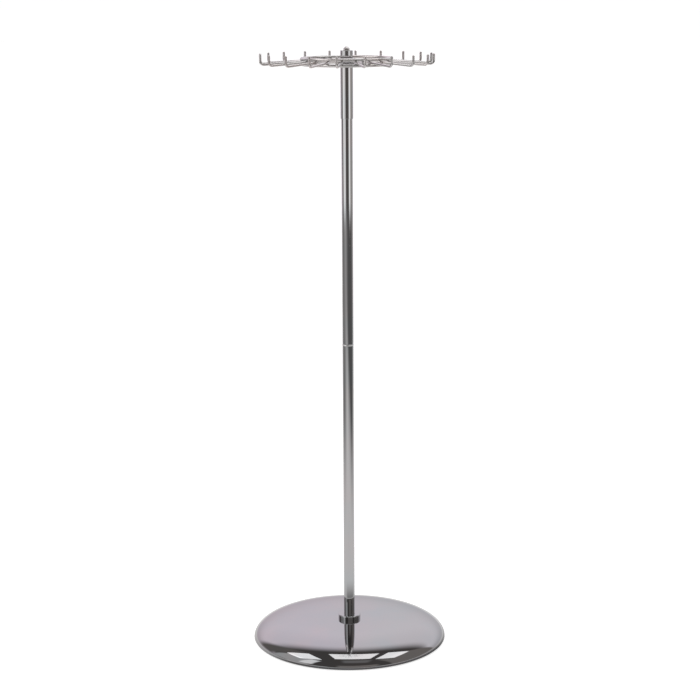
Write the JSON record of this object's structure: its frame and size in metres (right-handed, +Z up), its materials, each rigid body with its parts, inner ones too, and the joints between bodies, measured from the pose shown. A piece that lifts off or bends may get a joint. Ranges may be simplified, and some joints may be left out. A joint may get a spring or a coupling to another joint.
{
  "type": "revolving tie rack stand",
  "caption": "Free-standing chrome tie rack: weighted saucer base, two-piece post and a turning wheel of upturned wire hooks.",
  "frame": {"origin": "on the floor, under the middle of the base", "axes": "+Z up along the post; +X to the right and +Y to the back of the view in the picture"},
  "size_m": [0.508, 0.508, 1.555],
  "materials": {
    "chrome": "mirror-bright chrome plate",
    "cast_iron": "rough sand-cast, black paint",
    "cover": "satin black sheet",
    "zinc": "bright zinc plate",
    "rubber": "matt moulded",
    "nylon": "natural nylon"
  },
  "bodies": {
    "stand": {"base_shell": "chrome", "base_weight": "cast_iron", "bottom_cover": "cover", "cover_screws": "zinc", "rubber_edge": "rubber", "anchor_bolt": "zinc", "anchor_washer": "zinc", "base_collar": "chrome", "lower_plug": "zinc", "lower_tube": "chrome", "lower_insert": "zinc", "joint_stud": "zinc", "joint_ring": "chrome", "upper_insert": "zinc", "upper_tube": "chrome", "top_plug": "zinc", "pivot_stud": "zinc", "thrust_washer": "nylon", "pivot_washer": "nylon", "cap_nut": "chrome"},
    "head": {"head_sleeve": "chrome", "sleeve_cap": "chrome", "lower_bush": "nylon", "upper_bush": "nylon", "hub": "chrome", "hub_screw": "zinc", "spoke_1": "chrome", "spoke_2": "chrome", "spoke_3": "chrome", "spoke_4": "chrome", "upper_hoop": "chrome", "lower_hoop": "chrome", "hook_01": "chrome", "hook_02": "chrome", "hook_03": "chrome", "hook_04": "chrome", "hook_05": "chrome", "hook_06": "chrome", "hook_07": "chrome", "hook_08": "chrome", "hook_09": "chrome", "hook_10": "chrome", "hook_11": "chrome", "hook_12": "chrome", "hook_13": "chrome", "hook_14": "chrome", "hook_15": "chrome", "hook_16": "chrome", "hook_17": "chrome", "hook_18": "chrome", "hook_19": "chrome", "hook_20": "chrome"}
  },
  "joints": [
    {"name": "head_spin", "type": "hinge", "parent": "stand", "child": "head", "pos_m": [0, 0, 1.541], "axis": [0, 0, 1], "continuous": true}
  ]
}
